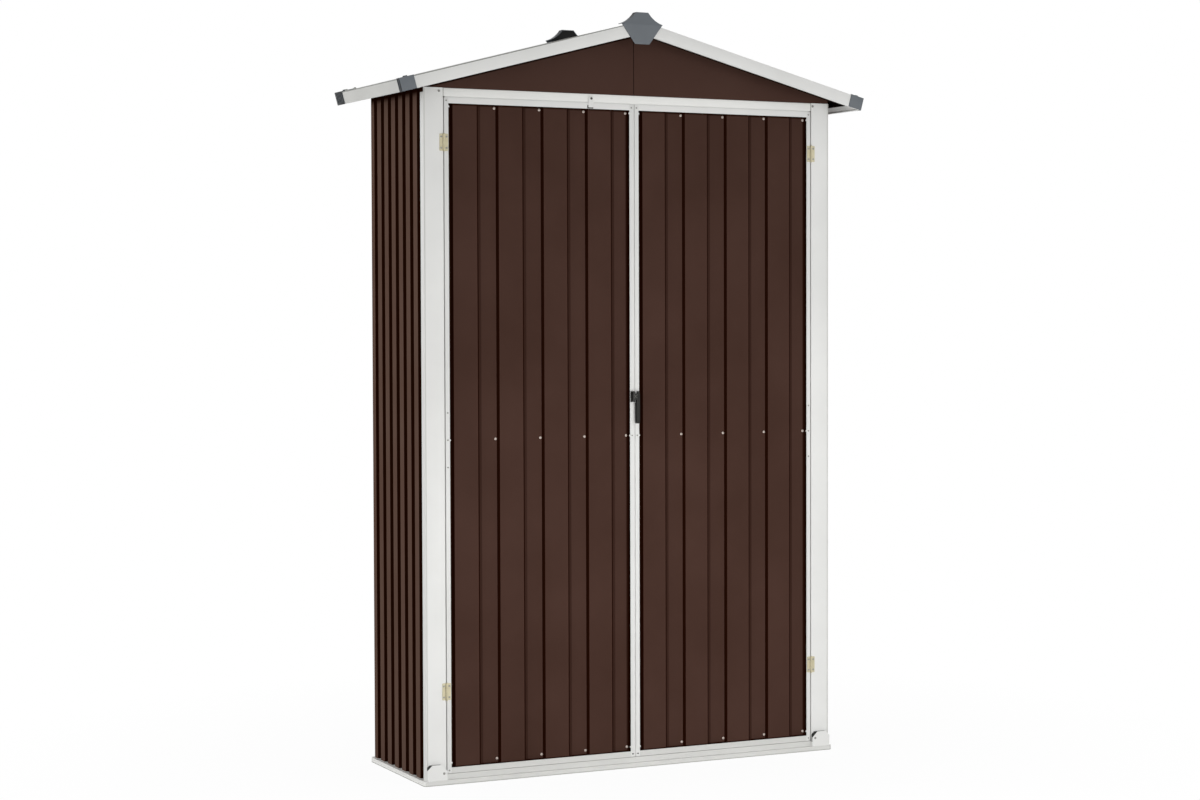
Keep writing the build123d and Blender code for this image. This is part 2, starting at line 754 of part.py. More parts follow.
def hinge_half(bottom, knuckles, side):
    """Leaf with its own knuckles; side is -1 for the post and 1 for the door."""
    bore = rod("Z", (hinge_x, hinge_y), pin_radius + pin_clearance, bottom, bottom + hinge_height)
    near = hinge_x + side * leaf_edge
    far_edge = hinge_x + side * hinge_leaf
    leaf = block(
        (min(near, far_edge), front_y - leaf_thickness, bottom),
        (max(near, far_edge), front_y, bottom + hinge_height),
    )
    for index in knuckles:
        low = bottom + index * (knuckle_height + knuckle_gap)
        leaf += rod("Z", (hinge_x, hinge_y), knuckle_radius, low, low + knuckle_height)
        leaf += block(
            (min(near, hinge_x), front_y - knuckle_stand_off - leaf_thickness, low),
            (max(near, hinge_x), front_y - knuckle_stand_off, low + knuckle_height),
        )
    return leaf - bore


frame_leaves = []
door_leaves = []
pins = []
for centre in hinge_heights:
    bottom = centre - hinge_height / 2
    top = bottom + hinge_height
    frame_leaves.append(hinge_half(bottom, (0, 2), -1))
    door_leaves.append(hinge_half(bottom, (1,), 1))
    pin = rod("Z", (hinge_x, hinge_y), pin_radius, bottom, top)
    pin += rod("Z", (hinge_x, hinge_y), pin_head_radius, bottom - pin_head_height, bottom)
    pin += rod("Z", (hinge_x, hinge_y), pin_head_radius, top, top + pin_head_height)
    pins.append(pin)
for name, pieces in (
    ("hinge_frame_leaves", frame_leaves),
    ("hinge_door_leaves", door_leaves),
    ("hinge_pins", pins),
):
    parts[f"left_{name}"] = Compound(children=pieces)
    parts[f"right_{name}"] = Compound(children=[mirror_x(piece) for piece in pieces])

# One file for each piece
os.makedirs("parts", exist_ok=True)
for name, shape in parts.items():
    export_step(shape, f"parts/{name}.step")
print(len(parts), "nodes, peak", round(cap_z, 2))
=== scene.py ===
import json
from math import atan2, cos, degrees, pi, radians, sin, tan

import bmesh
import bpy
from mathutils import Matrix, Vector


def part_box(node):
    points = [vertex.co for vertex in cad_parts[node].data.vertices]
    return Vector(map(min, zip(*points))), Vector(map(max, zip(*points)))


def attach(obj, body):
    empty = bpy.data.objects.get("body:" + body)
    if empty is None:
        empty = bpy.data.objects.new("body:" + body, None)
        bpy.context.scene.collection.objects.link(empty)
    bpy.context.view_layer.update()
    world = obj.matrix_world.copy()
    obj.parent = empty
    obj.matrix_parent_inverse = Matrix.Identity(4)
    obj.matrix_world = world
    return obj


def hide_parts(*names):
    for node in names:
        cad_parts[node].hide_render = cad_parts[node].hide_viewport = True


# Narrow steel tool shed with two doors. The doors face -Y and the ground is at z = 0.
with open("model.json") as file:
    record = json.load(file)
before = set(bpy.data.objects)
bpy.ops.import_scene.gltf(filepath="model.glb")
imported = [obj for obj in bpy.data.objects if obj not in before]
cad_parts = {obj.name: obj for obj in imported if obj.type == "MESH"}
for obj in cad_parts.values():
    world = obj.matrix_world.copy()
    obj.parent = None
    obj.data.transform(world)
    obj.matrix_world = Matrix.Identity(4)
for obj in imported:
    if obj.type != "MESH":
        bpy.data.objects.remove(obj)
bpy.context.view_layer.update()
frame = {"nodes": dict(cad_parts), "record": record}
nodes = frame["nodes"]
behaviour = frame["record"]["behaviour"]
body_of_node = {node: body for body, names in behaviour["bodies"].items() for node in names}
scene = bpy.context.scene
MM = 0.001

FRONT, REAR = Vector((0, -1, 0)), Vector((0, 1, 0))
SIDES = (("left", -1), ("right", 1))


def box_mm(name):
    """Lowest and highest corner of a CAD node in millimetres."""
    low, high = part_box(name)
    return low / MM, high / MM


# Sizes and planes of the shed in millimetres
ROOF_PITCH = radians(15.0)
FASCIA_HEIGHT = 29.0
END_RAIL = 13.0
RIB_PITCH = 109.0
# x of the first steep rib side on each door, and how its shade fades to each side of that line
FIRST_FALL = {"left": -377.2, "right": 86.8}
FALL_FULL, FALL_END = 1.8, 4.2
FALL_SHARE = 0.5
# how far below the roof's slope the fascia's shade lies on each half of a gable
FASCIA_SHADE = {"left": 29.3, "right": 18.3}
peak = box_mm("front_fascia_right")[1].z
post_low, post_high = box_mm("front_post_right")
door_low, door_high = box_mm("right_door_hinge_stile")
meeting_low, meeting_high = box_mm("right_door_meeting_stile")
wall_high = box_mm("side_wall_right")[1]
back_high = box_mm("back_wall_right")[1]
DOOR_FACE = door_low.y

# Materials


def linear(hex_colour):
    """sRGB hex value as a linear colour."""
    channels = [int(hex_colour[i:i + 2], 16) / 255 for i in (1, 3, 5)]
    return [c / 12.92 if c <= 0.04045 else ((c + 0.055) / 1.055) ** 2.4 for c in channels] + [1.0]


def add(tree, kind, inputs=None, **settings):
    """Add a node with its settings; an input takes a value or another node's socket."""
    made = tree.nodes.new(kind)
    for name, value in settings.items():
        setattr(made, name, value)
    for name, value in (inputs or {}).items():
        if isinstance(value, bpy.types.NodeSocket):
            tree.links.new(value, made.inputs[name])
        else:
            made.inputs[name].default_value = value
    return made


def per_size(millimetres):
    """Texture scale whose pattern comes round about once in that real size."""
    return 1 / (millimetres * MM)


def start_material(name):
    """New node material: the material, its tree and its coordinates."""
    material = bpy.data.materials.new(name)
    material.use_nodes = True
    tree = material.node_tree
    tree.nodes.clear()
    return material, tree, add(tree, "ShaderNodeTexCoord")


def end_material(tree, shader):
    """Join a shader to the material's output."""
    add(tree, "ShaderNodeOutputMaterial", {"Surface": shader.outputs[0]})


def powder_coated_steel(
    name, light, dark, roughness, specular, joint_and_shade=None, slopes="", grooves=None, bands=(), first_fall=None
):
    """Powder coat on folded sheet: even colour with faint clouds and a fine orange peel in its sheen.

    joint_and_shade is the colour of joints and of painted shade in pressed ribs and along shaded
    edges. slopes names the two axes that a rib's sloping side leans between; those sides are painted
    in shade. grooves is (axis, crest, floor), for grooves whose painted shade deepens from crest to
    floor. bands are (axis, middle, full, end): dark lines of joints or of painted shade, full from the
    middle and gone at end. first_fall is the x of the first steep side in a row of door ribs, whose
    painted shade line repeats along the row. An axis is X or Y, both counted from the middle of the
    shed, Z, or SLOPE, the height at which a plane along the roof's slope meets the ridge. Sizes are
    in millimetres.
    """
    material, tree, coords = start_material(name)
    here = coords.outputs["Object"]
    # clouds come from uneven film thickness, about two hand widths apart
    clouds = add(tree, "ShaderNodeTexNoise", {"Vector": here, "Scale": per_size(210), "Detail": 4.0})
    # orange peel is about 2 mm across, drawn at 6 mm so that it shows
    peel = add(tree, "ShaderNodeTexNoise", {"Vector": here, "Scale": per_size(6), "Detail": 2.0})
    tone = add(
        tree, "ShaderNodeMapRange", {"Value": clouds.outputs[0], "From Min": 0.32, "From Max": 0.68}
    )
    colour = add(
        tree, "ShaderNodeMix", {0: tone.outputs[0], 6: linear(dark), 7: linear(light)}, data_type="RGBA"
    ).outputs[2]
    place = add(tree, "ShaderNodeSeparateXYZ", {0: here})
    across = add(tree, "ShaderNodeMath", {0: place.outputs["X"]}, operation="ABSOLUTE")
    along = add(tree, "ShaderNodeMath", {0: place.outputs["Y"]}, operation="ABSOLUTE")
    sloped = add(
        tree,
        "ShaderNodeMath",
        {0: across.outputs[0], 1: tan(ROOF_PITCH), 2: place.outputs["Z"]},
        operation="MULTIPLY_ADD",
    )
    measures = {
        "X": across.outputs[0],
        "Y": along.outputs[0],
        "Z": place.outputs["Z"],
        "SLOPE": sloped.outputs[0],
    }
    shades = []
    if slopes:
        facing = add(tree, "ShaderNodeSeparateXYZ", {0: coords.outputs["Normal"]})
        lean = add(
            tree,
            "ShaderNodeMath",
            {0: facing.outputs[slopes[0]], 1: facing.outputs[slopes[1]]},
            operation="MULTIPLY",
        )
        size = add(tree, "ShaderNodeMath", {0: lean.outputs[0]}, operation="ABSOLUTE")
        shades.append(
            add(tree, "ShaderNodeMapRange", {"Value": size.outputs[0], "From Min": 0.1, "From Max": 0.4})
        )
    if grooves:
        axis, crest, floor = grooves
        shades.append(
            add(
                tree,
                "ShaderNodeMapRange",
                {"Value": measures[axis], "From Min": crest * MM, "From Max": floor * MM},
            )
        )
    for axis, middle, full, end in bands:
        offset = add(tree, "ShaderNodeMath", {0: measures[axis], 1: middle * MM}, operation="SUBTRACT")
        size = add(tree, "ShaderNodeMath", {0: offset.outputs[0]}, operation="ABSOLUTE")
        shades.append(
            add(
                tree,
                "ShaderNodeMapRange",
                {"Value": size.outputs[0], "From Min": end * MM, "From Max": full * MM},
            )
        )
    if first_fall is not None:
        offset = add(
            tree, "ShaderNodeMath", {0: place.outputs["X"], 1: first_fall * MM}, operation="SUBTRACT"
        )
        turn = add(
            tree,
            "ShaderNodeMath",
            {0: offset.outputs[0], 1: RIB_PITCH / 2 * MM, 2: -RIB_PITCH / 2 * MM},
            operation="WRAP",
        )
        size = add(tree, "ShaderNodeMath", {0: turn.outputs[0]}, operation="ABSOLUTE")
        fade = {"From Min": FALL_END * MM, "From Max": FALL_FULL * MM, "To Max": FALL_SHARE}
        shades.append(add(tree, "ShaderNodeMapRange", {"Value": size.outputs[0], **fade}))
    for shade in shades:
        colour = add(
            tree, "ShaderNodeMix", {0: shade.outputs[0], 6: colour, 7: linear(joint_and_shade)}, data_type="RGBA"
        ).outputs[2]
    sheen = add(
        tree,
        "ShaderNodeMapRange",
        {"Value": peel.outputs[0], "To Min": roughness - 0.06, "To Max": roughness + 0.06},
    )
    bump = add(
        tree, "ShaderNodeBump", {"Height": peel.outputs[0], "Strength": 0.2, "Distance": 0.2 * MM}
    )
    shader = add(
        tree,
        "ShaderNodeBsdfPrincipled",
        {
            "Base Color": colour,
            "Roughness": sheen.outputs[0],
            "Normal": bump.outputs[0],
            "IOR": 1.5,
            "Specular IOR Level": specular,
        },
    )
    end_material(tree, shader)
    return material


def moulded_plastic(name, light, dark, roughness, specular, grain, side_shade=None):
    """Injection-moulded plastic: an even colour, the spark-eroded grain of the mould and a soft sheen.

    side_shade is the colour of painted shade on the sides of a moulding that face left or right.
    """
    material, tree, coords = start_material(name)
    here = coords.outputs["Object"]
    flow = add(tree, "ShaderNodeTexNoise", {"Vector": here, "Scale": per_size(45), "Detail": 3.0})
    # the mould's grain is a few tenths of a millimetre, drawn at over 1 mm so that it shows
    texture = add(tree, "ShaderNodeTexVoronoi", {"Vector": here, "Scale": per_size(grain)})
    colour = add(
        tree, "ShaderNodeMix", {0: flow.outputs[0], 6: linear(dark), 7: linear(light)}, data_type="RGBA"
    ).outputs[2]
    if side_shade:
        facing = add(tree, "ShaderNodeSeparateXYZ", {0: coords.outputs["Normal"]})
        size = add(tree, "ShaderNodeMath", {0: facing.outputs["X"]}, operation="ABSOLUTE")
        side = add(
            tree, "ShaderNodeMapRange", {"Value": size.outputs[0], "From Min": 0.4, "From Max": 0.7}
        )
        colour = add(
            tree, "ShaderNodeMix", {0: side.outputs[0], 6: colour, 7: linear(side_shade)}, data_type="RGBA"
        ).outputs[2]
    sheen = add(
        tree,
        "ShaderNodeMapRange",
        {"Value": texture.outputs[0], "To Min": roughness - 0.05, "To Max": roughness + 0.08},
    )
    bump = add(
        tree, "ShaderNodeBump", {"Height": texture.outputs[0], "Strength": 0.25, "Distance": 0.15 * MM}
    )
    shader = add(
        tree,
        "ShaderNodeBsdfPrincipled",
        {
            "Base Color": colour,
            "Roughness": sheen.outputs[0],
            "Normal": bump.outputs[0],
            "IOR": 1.49,
            "Specular IOR Level": specular,
        },
    )
    end_material(tree, shader)
    return material


def plated_steel(name, light, dark, metallic, roughness, patch):
    """Zinc-plated steel: a metal sheen whose tint drifts in patches, with fine scuffs."""
    material, tree, coords = start_material(name)
    here = coords.outputs["Object"]
    tint = add(tree, "ShaderNodeTexNoise", {"Vector": here, "Scale": per_size(patch), "Detail": 4.0})
    # scuffs are finer than a tenth of a millimetre, drawn at 1.5 mm so that they show
    scuffs = add(tree, "ShaderNodeTexNoise", {"Vector": here, "Scale": per_size(1.5), "Detail": 2.0})
    colour = add(
        tree, "ShaderNodeMix", {0: tint.outputs[0], 6: linear(dark), 7: linear(light)}, data_type="RGBA"
    )
    sheen = add(
        tree,
        "ShaderNodeMapRange",
        {"Value": scuffs.outputs[0], "To Min": roughness - 0.1, "To Max": roughness + 0.1},
    )
    bump = add(
        tree, "ShaderNodeBump", {"Height": scuffs.outputs[0], "Strength": 0.15, "Distance": 0.05 * MM}
    )
    shader = add(
        tree,
        "ShaderNodeBsdfPrincipled",
        {
            "Base Color": colour.outputs[2],
            "Metallic": metallic,
            "Roughness": sheen.outputs[0],
            "Normal": bump.outputs[0],
        },
    )
    end_material(tree, shader)
    return material


def galvanised_steel(name, light, dark, spangle):
    """Hot-dip zinc on the hidden framing: flat crystals of slightly different grey."""
    material, tree, coords = start_material(name)
    here = coords.outputs["Object"]
    crystals = add(tree, "ShaderNodeTexVoronoi", {"Vector": here, "Scale": per_size(spangle)})
    grey = add(tree, "ShaderNodeSeparateColor", {0: crystals.outputs["Color"]})
    colour = add(
        tree, "ShaderNodeMix", {0: grey.outputs[0], 6: linear(dark), 7: linear(light)}, data_type="RGBA"
    )
    sheen = add(
        tree, "ShaderNodeMapRange", {"Value": grey.outputs[1], "To Min": 0.35, "To Max": 0.6}
    )
    shader = add(
        tree,
        "ShaderNodeBsdfPrincipled",
        {"Base Color": colour.outputs[2], "Metallic": 0.6, "Roughness": sheen.outputs[0]},
    )
    end_material(tree, shader)
    return material


# Painted shade in ribs and grooves, dark joints, a painted shade line along the top edges of the roof
# trims, and a painted shadow along the hem where it meets the ground
SHADOW_BROWN = "#150500"
RIB_SHADE_BROWN = "#1F0801"
GROOVE_SHADE_BROWN = "#200B03"
EDGE_SHADE_GREY = "#878984"
HEM_SHADOW_GREY = "#9A9A95"
# Off-white powder coat: clean, slightly glossy, with hardly any clouding.
WHITE = ("#E2E2E0", "#DADAD8", 0.4, 0.3)
white_coat = powder_coated_steel("white_powder_coat", *WHITE)
# The same coat with painted shade in the seams beside the header, at the fold of a post, along the roof's
# thin edges and on the doors' lower rails; it is painted a little lighter on the header, as light, and a
# little darker on the left eave and the stiles, as shade.
header_coat = powder_coated_steel(
    "white_powder_coat_header",
    "#EBEBE8",
    "#E4E4E1",
    0.4,
    0.3,
    "#85857F",
    bands=(("X", post_low.x, 0.9, 2.0),),
)
post_coat = powder_coated_steel(
    "white_powder_coat_posts", *WHITE, "#C2C2BE", bands=(("X", post_high.x - 2.2, 0.6, 1.8),)
)
# a painted shade line along the top edge of the left fascia and the left eave trim
ROOF_EDGE_SHADE = ("SLOPE", peak - 1.2, 0.8, 1.1)
edge_coat = powder_coated_steel("white_powder_coat_roof_edges", *WHITE, EDGE_SHADE_GREY, bands=(ROOF_EDGE_SHADE,))
# the left eave's coat is painted darker, as shade
eave_coat = powder_coated_steel(
    "white_powder_coat_eave", "#C8C8C5", "#C0C0BD", 0.45, 0.3, EDGE_SHADE_GREY, bands=(ROOF_EDGE_SHADE,)
)
rail_coat = powder_coated_steel(
    "white_powder_coat_end_rails",
    *WHITE,
    "#CCCCC9",
    bands=(("Z", door_low.z, END_RAIL + 1.0, END_RAIL + 4.0),),
)
# the stiles' coat is painted darker, as shade
stile_coat = powder_coated_steel("white_powder_coat_stiles", "#DCDCDA", "#D4D4D2", 0.4, 0.3)
# At the ground the coat is painted darker in front, as shade, and lighter at the sides, as light, with a
# painted shadow along the hem's lower edge.
base_coat = powder_coated_steel(
    "white_powder_coat_base", "#D4D4D1", "#CCCCC9", 0.45, 0.3, HEM_SHADOW_GREY, bands=(("Z", 0.0, 0.9, 2.4),)
)
side_base_coat = powder_coated_steel(
    "white_powder_coat_base_sides",
    "#EEEEEB",
    "#E7E7E4",
    0.45,
    0.3,
    HEM_SHADOW_GREY,
    bands=(("Z", 0.0, 0.9, 2.0),),
)
# Brown powder coat on pressed sheet, matt; the ribs' sloping and steep sides are painted as dark lines of
# shade, with painted shadow beside the stiles and along the panels' top and bottom.
DOOR_BROWN = ("#47322B", "#402C25")
door_coats = {
    side: powder_coated_steel(
        f"brown_powder_coat_{side}_door",
        *DOOR_BROWN,
        0.6,
        0.02,
        RIB_SHADE_BROWN,
        slopes="XY",
        bands=(
            ("X", meeting_high.x, 4.0, 8.5),
            ("X", door_low.x, 4.0, 8.5),
            ("Z", door_low.z + END_RAIL, 1.2, 3.5),
            ("Z", door_high.z - END_RAIL, 1.8, 5.5),
        ),
        first_fall=first_fall,
    )
    for side, first_fall in FIRST_FALL.items()
}
# Side walls: the same brown coat painted lighter, as the light on the sides, with painted shade on the
# ribs' slopes and in the grooves, and a painted shadow under the eaves along the top
wall_coat = powder_coated_steel(
    "brown_powder_coat_walls",
    "#5E4A41",
    "#59443B",
    0.6,
    0.0,
    GROOVE_SHADE_BROWN,
    slopes="XY",
    grooves=("X", wall_high.x - 0.4, wall_high.x - 2.4),
    bands=(("Z", wall_high.z, 7.0, 18.0),),
)
# Back walls: painted lighter like the side walls, with painted shade on the ribs' slopes and in the grooves
back_coat = powder_coated_steel(
    "brown_powder_coat_back",
    "#604C44",
    "#5A463E",
    0.6,
    0.0,
    GROOVE_SHADE_BROWN,
    slopes="XY",
    grooves=("Y", back_high.y - 0.8, back_high.y - 2.8),
)
# Roof: the same brown coat with painted shade on the ribs' slopes
roof_coat = powder_coated_steel(
    "brown_powder_coat_roof", *DOOR_BROWN, 0.55, 0.06, SHADOW_BROWN, slopes="YZ"
)
# Each gable has a joint in the middle, and a line of shade where the fascia stands in front of it.
gable_coats = {
    side: powder_coated_steel(
        f"brown_powder_coat_gable_{side}",
        "#49342D",
        "#453029",
        0.6,
        0.04,
        SHADOW_BROWN,
        bands=(("X", 0.0, 0.5, 1.3), ("SLOPE", peak - depth / cos(ROOF_PITCH), 2.6, 5.2)),
    )
    for side, depth in FASCIA_SHADE.items()
}
# Grey moulded polypropylene caps: an even satin grey with painted shade on the flanks; the grip ribs are
# painted a darker grey as shade, and a near black material paints the shade inside the ridge hoods.
cap_plastic = moulded_plastic(
    "grey_moulded_polypropylene", "#6D7277", "#656A6F", 0.5, 0.25, 1.6, side_shade="#1E2022"
)
rib_plastic = moulded_plastic("grey_moulded_polypropylene_ribs", "#565A5E", "#4B4F53", 0.5, 0.25, 1.6)
hood_shade_plastic = moulded_plastic("black_painted_hood_shade", "#1D1E1E", "#151616", 0.5, 0.15, 1.6)
# Black moulded nylon latch: a dull sheen on the face and painted black shade on the sides; the raised cross
# is painted a lighter grey as its highlight.
black_plastic = moulded_plastic(
    "black_moulded_nylon", "#2D2D2A", "#20201E", 0.42, 0.2, 1.2, side_shade="#060605"
)
cross_highlight_plastic = moulded_plastic("grey_nylon_cross_highlight", "#60605C", "#52524E", 0.42, 0.25, 1.2)
# Yellow-passivated zinc on the stamped hinges: a pale straw tint with little glint.
hinge_zinc = plated_steel("yellow_zinc_plated_hinge", "#C8C0A3", "#B3AA8A", 0.15, 0.45, 14)
# Zinc plate on the screws: bright on the panels, duller on the frame, dark at the stop and the foot; the
# dark grey also paints the stop's shadow.
screw_zinc = plated_steel("bright_zinc_plated_screw", "#CFC3BA", "#BBADA4", 0.2, 0.4, 5)
dull_zinc = plated_steel("dull_zinc_plated_screw", "#A0A09B", "#84847F", 0.3, 0.5, 5)
dark_zinc_and_shadow = plated_steel("dark_grey_zinc_and_stop_shadow", "#4E4E4A", "#40403C", 0.3, 0.5, 5)
# Hot-dip galvanised framing: flat grey spangle, seen when the doors are open.
frame_zinc = galvanised_steel("galvanised_spangle_framing", "#B2B6B7", "#9A9E9F", 11)

SLOT_MATERIALS = {
    "white_trim": white_coat,
    "door_brown": door_coats["left"],
    "wall_brown": wall_coat,
    "roof_brown": roof_coat,
    "grey_plastic": cap_plastic,
    "zinc_plate": hinge_zinc,
    "black_plastic": black_plastic,
    "screw_steel": screw_zinc,
    "galvanised_frame": frame_zinc,
}
NODE_MATERIALS = {
    "right_door_panel": door_coats["right"],
    "door_header": header_coat,
    "front_post_left": post_coat,
    "front_post_right": post_coat,
    "front_fascia_left": edge_coat,
    "eave_trim_left": eave_coat,
    "base_rail_front": base_coat,
    "base_rail_rear": base_coat,
    "base_rail_left": side_base_coat,
    "base_rail_right": side_base_coat,
    "left_door_end_rails": rail_coat,
    "right_door_end_rails": rail_coat,
    "left_door_hinge_stile": stile_coat,
    "left_door_meeting_stile": stile_coat,
    "right_door_hinge_stile": stile_coat,
    "right_door_meeting_stile": stile_coat,
    "back_wall_left": back_coat,
    "back_wall_right": back_coat,
    "front_gable_left": gable_coats["left"],
    "front_gable_right": gable_coats["right"],
    "rear_gable_left": gable_coats["left"],
    "rear_gable_right": gable_coats["right"],
}
for name, part in nodes.items():
    for material_slot in part.material_slots:
        finish = SLOT_MATERIALS.get(material_slot.material.name, white_coat)
        material_slot.material = NODE_MATERIALS.get(name, finish)


# Shapes, drawn in millimetres
SOFT_EDGE = 0.4
THIN_EDGE = 0.3


def finish_piece(name, bm, material, body, replaced=(), crisp=35):
    """Turn a drawn shape into a piece that rides on a body and takes the given material."""
    bmesh.ops.recalc_face_normals(bm, faces=bm.faces)
    bmesh.ops.scale(bm, vec=(MM, MM, MM), verts=bm.verts)
    mesh = bpy.data.meshes.new(name)
    bm.to_mesh(mesh)
    bm.free()
    mesh.shade_smooth()
    mesh.set_sharp_from_angle(angle=radians(crisp))
    mesh.materials.append(material)
    piece = bpy.data.objects.new(name, mesh)
    scene.collection.objects.link(piece)
    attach(piece, body)
    if replaced:
        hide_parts(*replaced)


def edges_of(verts):
    """Every edge that meets the given vertices."""
    return list(dict.fromkeys(edge for vert in verts for edge in vert.link_edges))


def run_of(edge):
    """Direction of an edge."""
    return (edge.verts[1].co - edge.verts[0].co).normalized()


def round_edges(bm, edges, radius, segments):
    """Round edges over; one segment makes a chamfer."""
    bmesh.ops.bevel(
        bm,
        geom=edges,
        offset=radius,
        segments=segments,
        profile=0.5,
        affect="EDGES",
        material=-1,
        clamp_overlap=True,
    )


def sharp_edges(bm, angle):
    """Edges that turn by more than an angle in degrees."""
    return [e for e in bm.edges if len(e.link_faces) == 2 and e.calc_face_angle() > radians(angle)]


def outer_folds(bm, width):
    """Outer edges of the folds in a sheet: convex, with a face wider than width on each side."""
    return [
        e
        for e in sharp_edges(bm, 40)
        if e.is_convex and all(face.calc_area() / e.calc_length() > width for face in e.link_faces)
    ]


def furthest_faces(bm, out):
    """Faces that look along a direction and lie furthest that way."""
    reach = max(vert.co.dot(out) for vert in bm.verts)
    return [
        face
        for face in bm.faces
        if face.normal.dot(out) > 0.99 and face.calc_center_median().dot(out) > reach - 0.1
    ]


def block(bm, low, high):
    """Block between two corners; returns its vertices."""
    low, high = Vector(low), Vector(high)
    place = Matrix.Translation((low + high) / 2) @ Matrix.Diagonal((*(high - low), 1))
    return bmesh.ops.create_cube(bm, size=1, matrix=place)["verts"]


def rounded_block(bm, low, high, radius):
    """Block between two corners with all its edges rounded."""
    round_edges(bm, edges_of(block(bm, low, high)), radius, 2)


def turned_bar(bm, start, end, radius, rounding, segments=20):
    """Round bar between two points with its rims rounded."""
    start, end = Vector(start), Vector(end)
    run = end - start
    place = Matrix.Translation((start + end) / 2) @ run.to_track_quat("Z", "Y").to_matrix().to_4x4()
    verts = bmesh.ops.create_cone(
        bm, cap_ends=True, segments=segments, radius1=radius, radius2=radius, depth=run.length, matrix=place
    )["verts"]
    across = run.normalized()
    rims = [e for e in edges_of(verts) if abs(run_of(e).dot(across)) < 0.5]
    round_edges(bm, rims, rounding, 2)


# Screw heads: radius and height
PANEL_HEAD = (3.0, 2.0)
EDGE_HEAD = (2.4, 2.0)
STILE_HEAD = (1.9, 0.8)
HINGE_HEAD = (2.3, 0.9)
EAVE_HEAD = (3.6, 3.4)
FRAME_HEAD = (2.8, 1.4)


def screw(bm, at, out, head, shank=0.0):
    """Pan head with a cross recess on the face of a sheet, and a pointed shank behind it."""
    radius, height = head
    turn = out.to_track_quat("Z", "Y").to_matrix().to_4x4()
    place = Matrix.Translation(at) @ turn
    rim = 0.4 * height
    stand = place @ Matrix.Translation((0, 0, rim / 2)) @ Matrix.Rotation(pi / 12, 4, "Z")
    verts = bmesh.ops.create_cone(
        bm, cap_ends=True, segments=12, radius1=radius, radius2=radius, depth=rim, matrix=stand
    )["verts"]
    faces = list(dict.fromkeys(face for vert in verts for face in vert.link_faces))
    bmesh.ops.recalc_face_normals(bm, faces=faces)
    top = max(faces, key=lambda face: face.calc_center_median().dot(out))
    for inset, rise in ((0.3, 0.45), (0.2, 0.15)):
        bmesh.ops.inset_region(
            bm, faces=[top], thickness=inset * radius, depth=rise * height, use_even_offset=True
        )
    # the corners between the arms of the cross are drawn in, and the cross is sunk
    centre = top.calc_center_median()
    for corner in top.verts:
        local = turn.inverted() @ (corner.co - centre)
        if abs(degrees(atan2(local.y, local.x)) % 90 - 45) < 1:
            corner.co = centre + (corner.co - centre) * 0.4
    recess = bmesh.ops.extrude_discrete_faces(bm, faces=[top])["faces"][0]
    bmesh.ops.translate(bm, verts=recess.verts, vec=-out * 0.5 * height)
    if shank:
        back = place @ Matrix.Translation((0, 0, -shank / 2))
        bmesh.ops.create_cone(
            bm,
            cap_ends=True,
            segments=8,
            radius1=0.2 * radius,
            radius2=0.47 * radius,
            depth=shank,
            matrix=back,
        )


def cad_copy(name):
    """A CAD node's own shape, its triangles merged into clean faces."""
    bm = bmesh.new()
    bm.from_mesh(nodes[name].data)
    bmesh.ops.scale(bm, vec=(1 / MM,) * 3, verts=bm.verts)
    bmesh.ops.remove_doubles(bm, verts=bm.verts, dist=0.01)
    bmesh.ops.dissolve_limit(bm, angle_limit=radians(1), verts=bm.verts, edges=bm.edges)
    return bm


def roof_place(side):
    """Matrix from (down the slope, along the ridge, off the slope) to the shed; side is -1 or 1."""
    return Matrix(
        (
            (side * cos(ROOF_PITCH), 0, side * sin(ROOF_PITCH), 0),
            (0, 1, 0, 0),
            (-sin(ROOF_PITCH), 0, cos(ROOF_PITCH), peak),
            (0, 0, 0, 1),
        )
    )


# Folded white sheets: the same pieces with the outside of every fold rounded
FOLD_RADIUS = 1.6
FOLD_FLANGE = 3.5
FOLDED = ["front_post_left", "front_post_right", "door_header", "eave_trim_left", "eave_trim_right"]
FOLDED += [f"{end}_fascia_{side}" for end in ("front", "rear") for side in ("left", "right")]
FOLDED += [f"{side}_door_{stile}_stile" for side in ("left", "right") for stile in ("hinge", "meeting")]
for name in FOLDED:
    bm = cad_copy(name)
    round_edges(bm, outer_folds(bm, FOLD_FLANGE), FOLD_RADIUS, 3)
    coat = NODE_MATERIALS.get(name, white_coat)
    finish_piece(f"{name}_folded", bm, coat, body_of_node[name], [name])

